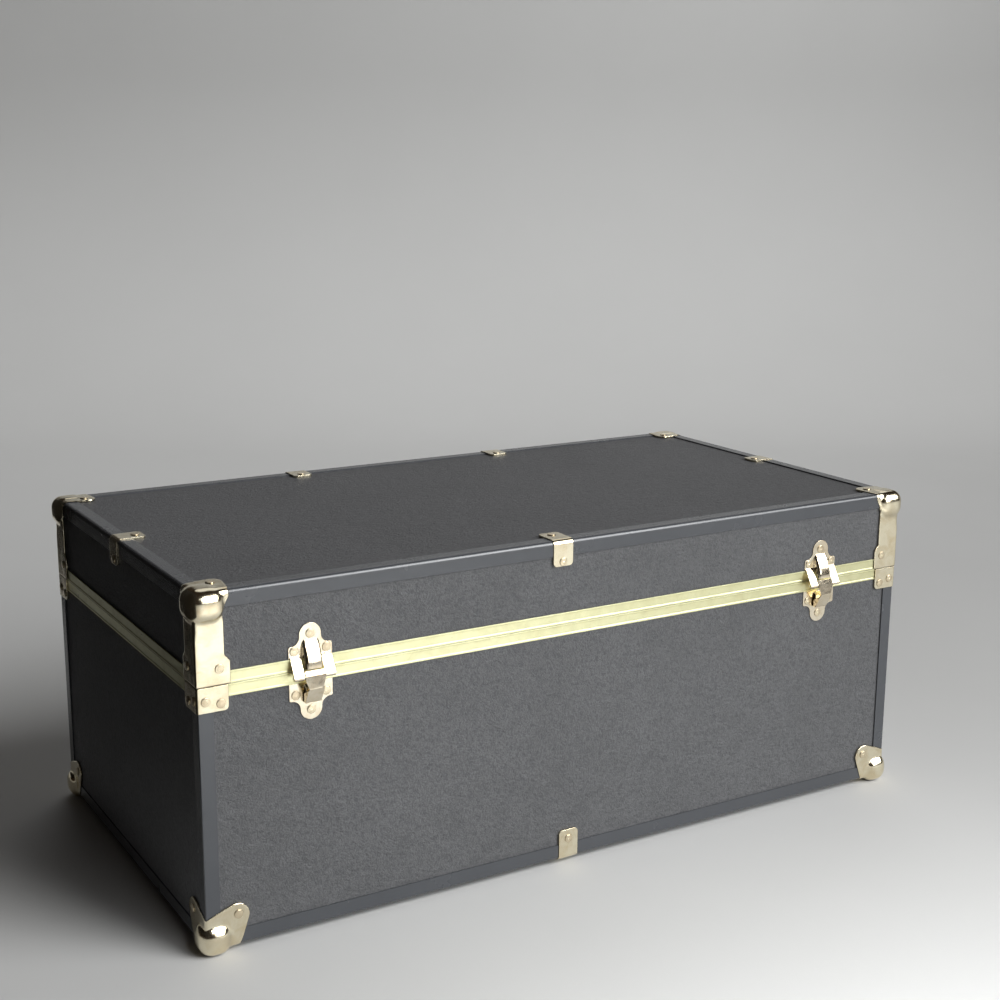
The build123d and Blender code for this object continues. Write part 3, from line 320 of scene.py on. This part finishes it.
def steel():
    """Zinc-plated steel with a faint spangle."""
    g = Graph("zinc_steel")
    spangle = g.cells(scale=260.0)
    cloud = g.noise(scale=40.0, rough=0.6)
    tone = g.mix(spangle, (0.56, 0.57, 0.58), (0.68, 0.68, 0.68))
    g.set(Base_Color=tone, Roughness=g.remap(cloud, 0.3, 0.46))
    g.set(Normal=g.bump(cloud, distance=0.0003, strength=0.2), Metallic=1.0)
    return g.material


def paper():
    """Buff lining paper with soft fibres, darker where it has aged."""
    g = Graph("lining_paper")
    aged = (0.52, 0.45, 0.33)
    clean = (0.62, 0.56, 0.44)
    shade = (0.42, 0.36, 0.26)
    fibre = g.noise(scale=700.0, detail=5.0, rough=0.7, distortion=0.8)
    age = g.noise(scale=9.0, detail=5.0, rough=0.6)
    tone = g.mix(age, aged, clean)
    tone = g.mix(g.ramp(fibre, (0.45, 0.3), (0.6, 0.0)), tone, shade)
    g.set(Base_Color=tone, Roughness=0.86, Normal=g.bump(fibre, distance=0.0002, strength=0.4))
    return g.material


def floor_finish():
    """Plain pale floor with the faintest cloudiness."""
    g = Graph("floor_finish")
    cloud = g.noise(scale=1.6, rough=0.55)
    tone = g.mix(cloud, (0.56, 0.56, 0.55), (0.61, 0.61, 0.60))
    g.set(Base_Color=tone, Roughness=0.8)
    return g.material


def flag_finish():
    """Dull black cloth."""
    g = Graph("flag_finish")
    weave = g.noise(scale=300.0, detail=3.0, rough=0.6)
    tone = g.mix(weave, (0.008, 0.007, 0.006), (0.014, 0.012, 0.010))
    g.set(Base_Color=tone, Roughness=0.95, Specular_IOR_Level=0.1)
    return g.material


def finishes():
    """One material for each of the record's slots."""
    made = {name: brass(name, **look) for name, look in BRASSES.items()}
    made["covered_plywood"] = covered_board()
    made["black_binding"] = satin_binding()
    made["plain_steel"] = steel()
    made["lining_paper"] = paper()
    return made


def paint(piece, material):
    """Gives the piece one material and no other."""
    piece.data.materials.clear()
    piece.data.materials.append(material)


# Pressed corners ----------------------------------------------------------------------------------

def grid_copy(node):
    """A new piece with the node's shape, on an even grid of small faces."""
    source = frame["nodes"][node]
    piece = bpy.data.objects.new(f"{node}_pressing", source.data.copy())
    bpy.context.collection.objects.link(piece)
    remesh = piece.modifiers.new("grid", "REMESH")
    remesh.mode = "VOXEL"
    remesh.voxel_size = VOXEL
    remesh.use_smooth_shade = True
    apply_modifiers(piece)
    return piece


def apply_modifiers(piece):
    """Makes what the piece's modifiers show its own mesh."""
    seen = piece.evaluated_get(bpy.context.evaluated_depsgraph_get())
    mesh = bpy.data.meshes.new_from_object(seen)
    piece.modifiers.clear()
    piece.data = mesh


def outermost(node):
    """The corner of the node's box that is farthest from the middle of the trunk."""
    low, high = (Vector(corner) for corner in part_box(node))
    middle = Vector((0.0, 0.0, (CAD_BOX[0][2] + CAD_BOX[1][2]) / 2))
    return Vector(
        lo if abs(lo - mid) > abs(hi - mid) else hi for lo, hi, mid in zip(low, high, middle))


def pressed_corner(node, material):
    """A corner cap whose ball swells softly out of its plates, as drawn metal does."""
    piece = grid_copy(node)
    tip = outermost(node)
    group = piece.vertex_groups.new(name="ball")
    for vertex in piece.data.vertices:
        weight = (BALL_REACH + FADE - (vertex.co - tip).length) / FADE
        if weight > 0.0:
            group.add([vertex.index], min(weight, 1.0), "REPLACE")
    smooth = piece.modifiers.new("soft", "SMOOTH")
    smooth.vertex_group = "ball"
    smooth.factor = SOFTENING_FACTOR
    smooth.iterations = SOFTENING_STEPS
    apply_modifiers(piece)
    paint(piece, material)
    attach(piece, BODY_OF[node])
    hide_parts(node)


# Stage --------------------------------------------------------------------------------------------

def make_camera():
    """The scene's camera, turned by its yaw, pitch and roll."""
    forward = Vector((
        math.sin(CAMERA_YAW) * math.cos(CAMERA_PITCH),
        math.cos(CAMERA_YAW) * math.cos(CAMERA_PITCH),
        -math.sin(CAMERA_PITCH)))
    right = forward.cross(Vector((0, 0, 1))).normalized()
    up = right.cross(forward)
    rolled_right = right * math.cos(CAMERA_ROLL) + up * math.sin(CAMERA_ROLL)
    rolled_up = up * math.cos(CAMERA_ROLL) - right * math.sin(CAMERA_ROLL)
    turn = Matrix((rolled_right, rolled_up, -forward)).transposed()
    data = bpy.data.cameras.new("camera")
    data.lens = CAMERA_LENS
    data.sensor_width = CAMERA_SENSOR
    camera = bpy.data.objects.new("camera", data)
    camera.matrix_world = Matrix.Translation(CAMERA_PLACE) @ turn.to_4x4()
    bpy.context.collection.objects.link(camera)
    bpy.context.scene.camera = camera


def soft_box(name, place, target, size, power, spread):
    """A rectangular lamp, itself unseen, that shines from its place towards a target."""
    data = bpy.data.lights.new(name, "AREA")
    data.shape = "RECTANGLE"
    data.size, data.size_y = size
    data.energy = power
    data.color = DAYLIGHT
    data.spread = math.radians(spread)
    lamp = bpy.data.objects.new(name, data)
    lamp.location = place
    lamp.rotation_euler = (Vector(target) - Vector(place)).to_track_quat("-Z", "Y").to_euler()
    lamp.visible_camera = False
    bpy.context.collection.objects.link(lamp)


def stage_sheet(name, points, faces, material):
    """A thin sheet of the stage, which is no part of the trunk."""
    mesh = bpy.data.meshes.new(name)
    mesh.from_pydata(points, [], faces)
    mesh.shade_smooth()
    sheet = bpy.data.objects.new(name, mesh)
    bpy.context.collection.objects.link(sheet)
    paint(sheet, material)
    return sheet


def make_sweep():
    """A pale studio floor that curves up into a low wall, square to the camera's view."""
    profile = [(SWEEP_FRONT, 0.0)]
    for step in range(SWEEP_BEND_STEPS + 1):
        angle = math.pi / 2 * step / SWEEP_BEND_STEPS
        depth = SWEEP_BEND_START + SWEEP_BEND_RADIUS * math.sin(angle)
        profile.append((depth, SWEEP_BEND_RADIUS * (1 - math.cos(angle))))
    profile.append((SWEEP_BEND_START + SWEEP_BEND_RADIUS, SWEEP_HEIGHT))
    turn = Matrix.Rotation(-CAMERA_YAW, 3, "Z")
    points = [
        turn @ Vector((side * SWEEP_HALF_WIDTH, depth, height))
        for depth, height in profile for side in (-1, 1)]
    faces = [(2 * i, 2 * i + 1, 2 * i + 3, 2 * i + 2) for i in range(len(profile) - 1)]
    stage_sheet("sweep", points, faces, floor_finish())


def make_flag():
    """A dark card on the trunk's left, out of sight, that keeps stray light off that side."""
    outline = (
        (FLAG_FRONT, FLAG_BOTTOM), (FLAG_BACK, FLAG_BOTTOM), (FLAG_BACK, FLAG_TOP), (FLAG_FRONT, FLAG_TOP))
    points = [(FLAG_X, depth, height) for depth, height in outline]
    flag = stage_sheet("flag", points, [(0, 1, 2, 3)], flag_finish())
    flag.visible_camera = False
    flag.visible_shadow = False


def make_world():
    """Pale behind the stage for the camera, and a dim room for the light and the reflections."""
    world = bpy.data.worlds.new("studio")
    world.use_nodes = True
    tree = world.node_tree
    room = tree.nodes["Background"]
    room.inputs["Color"].default_value = ROOM_COLOUR
    room.inputs["Strength"].default_value = ROOM_STRENGTH
    backdrop = tree.nodes.new("ShaderNodeBackground")
    backdrop.inputs["Color"].default_value = BACKDROP_COLOUR
    path = tree.nodes.new("ShaderNodeLightPath")
    mix = tree.nodes.new("ShaderNodeMixShader")
    tree.links.new(path.outputs["Is Camera Ray"], mix.inputs["Fac"])
    tree.links.new(room.outputs[0], mix.inputs[1])
    tree.links.new(backdrop.outputs[0], mix.inputs[2])
    tree.links.new(mix.outputs[0], tree.nodes["World Output"].inputs["Surface"])
    bpy.context.scene.world = world


def sun_light(name, azimuth, elevation, power, angle):
    """Light from far away, as even over the floor as on the trunk."""
    data = bpy.data.lights.new(name, "SUN")
    data.energy = power
    data.angle = math.radians(angle)
    data.color = DAYLIGHT
    across, up = math.radians(azimuth), math.radians(elevation)
    source = Vector((
        math.sin(across) * math.cos(up), -math.cos(across) * math.cos(up), math.sin(up)))
    lamp = bpy.data.objects.new(name, data)
    lamp.rotation_euler = source.to_track_quat("Z", "Y").to_euler()
    bpy.context.collection.objects.link(lamp)


def make_lights():
    """Soft daylight from the front right, with a faint fill from behind."""
    for name, sun in SUNS.items():
        sun_light(name, **sun)
    for name, box in SOFT_BOXES.items():
        soft_box(name, **box)
    bpy.context.scene.view_settings.view_transform = "Standard"


make_camera()
make_world()
make_lights()
make_sweep()
make_flag()
FINISHES = finishes()
for node_name, node_object in frame["nodes"].items():
    paint(node_object, FINISHES[SLOT_OF[node_name]])
for node_name in sorted(frame["nodes"]):
    if node_name.startswith(BALL_CORNERS):
        pressed_corner(node_name, FINISHES[SLOT_OF[node_name]])
